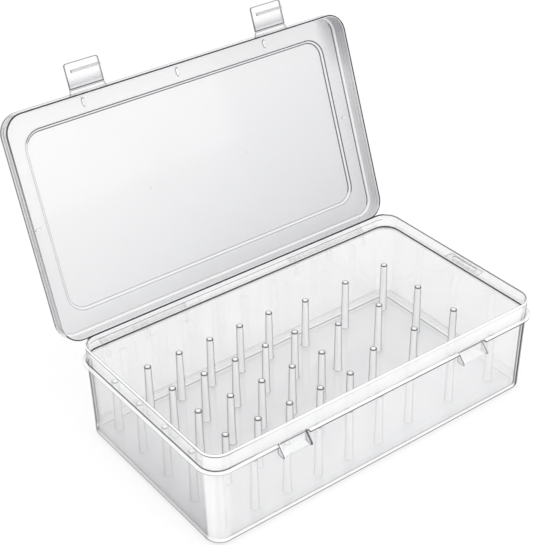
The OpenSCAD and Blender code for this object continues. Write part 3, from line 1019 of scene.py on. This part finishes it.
def makePips(material):
    roof = lid["roofZ"]
    brimY = -lid["halfW"] + lid["brim"] / 2
    drop = dropShape(pip["width"] / 2, pip["length"])
    for number, x in enumerate((-box["latchX"], 0.0, box["latchX"])):
        makePip(f"brimPip{number + 1}", [(x + wide, brimY + long) for wide, long in drop], roof, material)
    endX = lid["halfL"] - lid["brim"] / 2 - pip["endShift"]
    drop = dropShape(pip["endWidth"] / 2, pip["endLength"])
    for number, x in enumerate((-endX, endX)):
        makePip(f"endPip{number + 1}", [(x + long, wide) for wide, long in drop], roof, material)
    dot = arcPoints(pip["panelR"], 0, 345, 23)
    for number, x in enumerate((-pip["panelX"], pip["panelX"])):
        points = [(x + wide, long) for wide, long in dot]
        makePip(f"panelPip{number + 1}", points, roof + lid["rise"], material)


# A drop: round at its wide end, drawn to a blunt point at the other
def dropShape(radius, length):
    points = []
    for step in range(24):
        angle = 2 * math.pi * step / 24
        long = math.sin(angle)
        wide = math.cos(angle) * (1 - pip["taper"] * (long + 1) / 2)
        points.append((radius * wide, length / 2 * long))
    return points


def makePip(name, points, z, material):
    centre = Vector((sum(p[0] for p in points), sum(p[1] for p in points))) / len(points)
    rings, height = [], pip["height"]
    # A painted dark outline round the foot, and a painted highlight over the top
    levels = [
        (1.0, -pip["sunk"], 0.9), (0.86, height / 2, 0.9),
        (0.68, height - 0.05, -1.0), (0.3, height, -1.0),
    ]
    for share, drop, edge in levels:
        ring = [centre + (Vector(p) - centre) * share for p in points]
        rings.append([(p.x, p.y, z - drop, edge) for p in ring])
    finishPiece(swingOpen(skin(name, rings, sharp=60)), "lid", material)


peg = {
    "height": 46.0,
    "topR": 2.8,
    "footR": 3.4,
    "hole": 1.55,
    "fillet": 0.5,
    "lift": 0.03,                          # keeps its foot off the floor's own face
    "milk": -0.9,
}
fields = {
    "close": {"rows": 5, "columns": 6, "pitchX": 29.5, "pitchY": 34.5, "startX": -136.3},
    "wide": {"rows": 4, "columns": 3, "pitchX": 43.3, "pitchY": 43.0, "startX": 45.9},
}


def makePegs(material):
    low = box["floor"] + peg["lift"]
    top = box["floor"] + peg["height"]
    foot, tip, hole = peg["footR"], peg["topR"], peg["hole"]
    milk = peg["milk"]
    # Painted dark lines at the foot and round the top, a painted bright ring on the top, the shaft frosted
    # white with painted highlight, and the bore lit by the painted glow
    profile = [
        (hole, low, -1.0), (foot + peg["fillet"], low, 0.15), (foot + 0.2, low + 0.3, 0.2),
        (foot, low + 0.8, milk), (tip + 0.01, top - 0.8, milk), (tip, top - 0.55, 0.9),
        (tip, top - 0.25, 1.0), (tip - 0.25, top, 1.0), (tip - 0.7, top, 0.95), (tip - 0.85, top, -0.5),
        (hole + 0.1, top, -0.5),
        (hole, top - 0.1, -1.0), (hole, top - 1.0, -1.0), (hole, top - 3.5, -1.0),
    ]
    for field, plan in fields.items():
        startY = (plan["rows"] - 1) * plan["pitchY"] / 2
        for row in range(plan["rows"]):
            for column in range(plan["columns"]):
                node = f"{field}_peg_r{row + 1}c{column + 1}"
                x = plan["startX"] + column * plan["pitchX"]
                y = startY - row * plan["pitchY"]
                piece = turned(f"{field}Peg{row + 1}{column + 1}", profile, x, y)
                finishPiece(piece, "tub", material, [node])


studio = {
    "camera": (-534.7, -666.0, 683.9),
    "aim": (8.1, 66.8, 89.7),
    "roll": -1.106,                        # degrees
    "lens": 91.9,
    "ambient": 1.0,
    "floorColour": (0.95, 0.95, 0.95, 1.0),
    "floorGlow": 0.75,
    "floorHalf": 4.0,                      # metres
    "floorZ": -0.0004,
}
lamps = {                                  # place, aim, size in metres, and power
    "softTop": ((-0.2, -0.3, 1.5), (0, 0, 0.05), (1.2, 0.8), 4.5),
    "softFront": ((0.4, -1.5, 0.7), (0, 0, 0.05), (1.2, 0.7), 4),
}


def makeCamera():
    data = bpy.data.cameras.new("camera")
    data.lens = studio["lens"]
    data.sensor_width = 36
    data.sensor_fit = "HORIZONTAL"
    camera = bpy.data.objects.new("camera", data)
    bpy.context.scene.collection.objects.link(camera)
    place, aim = Vector(studio["camera"]) * mm, Vector(studio["aim"]) * mm
    turn = (aim - place).to_track_quat("-Z", "Y").to_matrix().to_4x4()
    roll = Matrix.Rotation(math.radians(studio["roll"]), 4, "Z")
    camera.matrix_world = Matrix.Translation(place) @ turn @ roll
    bpy.context.scene.camera = camera


def makeWorld():
    world = bpy.data.worlds.new("studio")
    bpy.context.scene.world = world
    world.use_nodes = True
    web = Web(tree=world.node_tree)
    strength = studio["ambient"] + web.seen() * (1 - studio["ambient"])
    light = web.node("ShaderNodeBackground", {}, {"Color": white, "Strength": strength})
    web.node("ShaderNodeOutputWorld", {}, {"Surface": light})


def makeFloor():
    web = Web("studioFloor")
    seen = web.seen()
    paper = web.node("ShaderNodeBsdfDiffuse", {}, {"Color": studio["floorColour"]})
    glow = web.node("ShaderNodeEmission", {}, {"Color": white, "Strength": 1.0})
    material = web.finish(web.blend(seen * studio["floorGlow"], paper, glow))
    mesh = bmesh.new()
    half = studio["floorHalf"]
    spots = [(-half, -half), (half, -half), (half, half), (-half, half)]
    corners = [mesh.verts.new((x, y, studio["floorZ"])) for x, y in spots]
    mesh.faces.new(corners)
    floor = asObject("studioFloor", mesh)
    floor.data.materials.append(material)


def makeLamp(name, place, aim, size, power):
    data = bpy.data.lights.new(name, "AREA")
    data.shape = "RECTANGLE"
    data.size, data.size_y = size
    data.energy = power
    lamp = bpy.data.objects.new(name, data)
    bpy.context.scene.collection.objects.link(lamp)
    turn = (Vector(aim) - Vector(place)).to_track_quat("-Z", "Y").to_matrix().to_4x4()
    lamp.matrix_world = Matrix.Translation(Vector(place)) @ turn


makeCamera()
makeWorld()
makeFloor()
for name, settings in lamps.items():
    makeLamp(name, *settings)
print("room ready")

tubPlastic = clearPlastic("tubPlastic", tubTone, tubWide)
catchPlastic = clearPlastic("catchPlastic", veil=0.16)
earPlastic = clearPlastic("earPlastic", veil=0.04, rimVeil=0.2, lineVeil=0.35)
lidPlastic = clearPlastic("lidPlastic", lidTone, veil=0.08, smokeVeil=0.30, rimVeil=0.45, rimShade=0.8)
pipPlastic = clearPlastic("pipPlastic", veil=0.2, milkVeil=0.95, lineVeil=0.8, rimVeil=0.0)
latchPlastic = clearPlastic("latchPlastic", latchTone, veil=0.10, smokeVeil=0.3)
rodPlastic = clearPlastic("rodPlastic", veil=0.12, rimVeil=0.4)
# The pegs' bores get a painted glow
pegPlastic = clearPlastic(
    "pegPlastic", veil=0.12, light=(0.94, 0.94, 0.96, 1.0), milkVeil=0.85, line=(0.10, 0.10, 0.11, 1.0),
    rimStart=0.30, rimEnd=0.72, rimVeil=0.85, rimShade=0.85, rough=0.28, gloss=0.2, glow=0.10,
)
print("materials ready")

makeTub(tubPlastic)
for side in (-1, 1):
    label = "Left" if side < 0 else "Right"
    makeCatch(f"catch{label}", side * box["latchX"], catchPlastic)
    makeHinge(side, earPlastic, rodPlastic)
    makeTab(f"latchTab{label}", side * box["latchX"], latchPlastic)
    makeFlap(f"latchFlap{label}", side * box["latchX"], latchPlastic)
makeLug(tubPlastic)
print("tub, hinges and latches ready")

makeLid(lidPlastic)
makePips(pipPlastic)
print("lid ready")

makePegs(pegPlastic)
print("pegs ready")

bpy.context.scene.cycles.transparent_max_bounces = 48
bpy.context.scene.view_settings.view_transform = "Standard"
bpy.context.view_layer.update()
